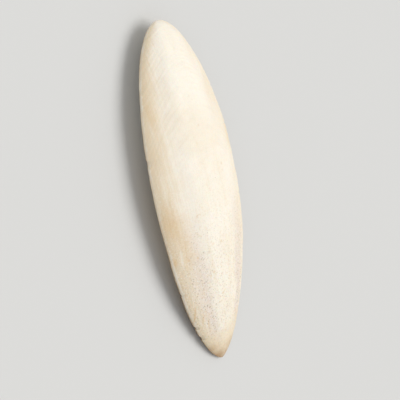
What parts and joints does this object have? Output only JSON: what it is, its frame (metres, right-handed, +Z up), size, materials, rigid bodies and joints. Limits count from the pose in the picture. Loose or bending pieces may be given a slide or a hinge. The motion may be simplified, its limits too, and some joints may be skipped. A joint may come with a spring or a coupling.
{
  "type": "cuttlebone",
  "caption": "Chalky inner shell of a cuttlefish: a long, pointed oval with an arched smooth back, a swollen and hollowed belly and an amber horny rim, lying belly down.",
  "frame": {"origin": "on the surface that the bone lies on, under the middle of its box", "axes": "+Z up, out of the bone's back; +Y along its length, to the blunt front end; +X across it, to the right as seen from above with the front end away"},
  "size_m": [0.056, 0.16, 0.0178],
  "materials": {
    "bone": "matt chalky cream, faintly granular and streaked, with an amber translucent horny rim"
  },
  "bodies": {
    "root": {"cuttlebone": "bone"}
  },
  "joints": []
}
